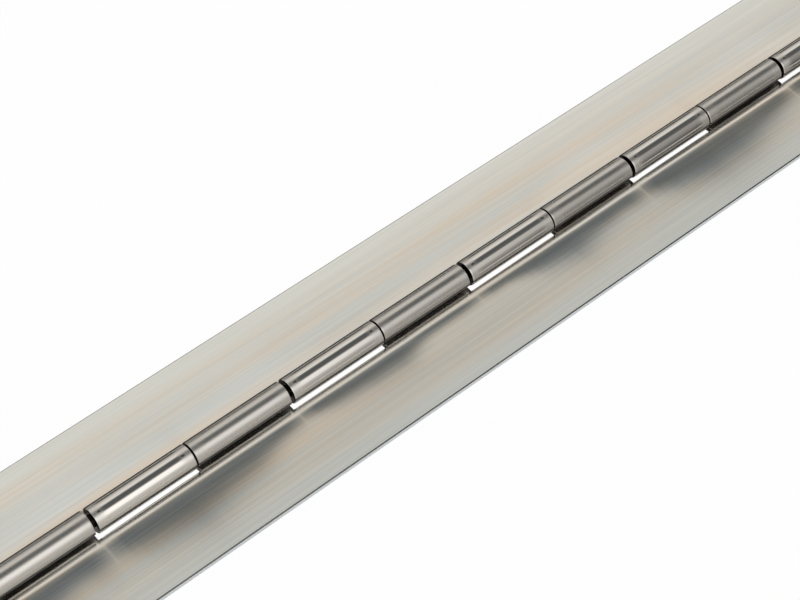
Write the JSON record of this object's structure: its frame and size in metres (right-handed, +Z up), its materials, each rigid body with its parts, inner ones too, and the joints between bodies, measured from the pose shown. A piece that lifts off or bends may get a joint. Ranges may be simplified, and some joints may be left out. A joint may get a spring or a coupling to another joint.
{
  "type": "piano hinge",
  "caption": "Long continuous hinge: two plain steel leaves with rolled knuckles that interleave on one pin, shown open flat.",
  "frame": {"origin": "under the middle of the pin, on the plane that carries both leaves when the hinge is open flat", "axes": "+X along the pin, +Y towards the back leaf, +Z up, away from the face that the leaves are fastened to"},
  "size_m": [0.305, 0.0444, 0.0062],
  "materials": {
    "leaf_steel": "bright cold-rolled sheet, fine drawn grain along the pin",
    "pin_steel": "plain drawn wire"
  },
  "bodies": {
    "fixed_leaf": {"front_leaf": "leaf_steel", "hinge_pin": "pin_steel"},
    "swing_leaf": {"back_leaf": "leaf_steel"}
  },
  "joints": [
    {"name": "leaf_swing", "type": "hinge", "parent": "fixed_leaf", "child": "swing_leaf", "pos_m": [0, 0, 0.00308], "axis": [1, 0, 0], "range_deg": [-90, 180]}
  ]
}
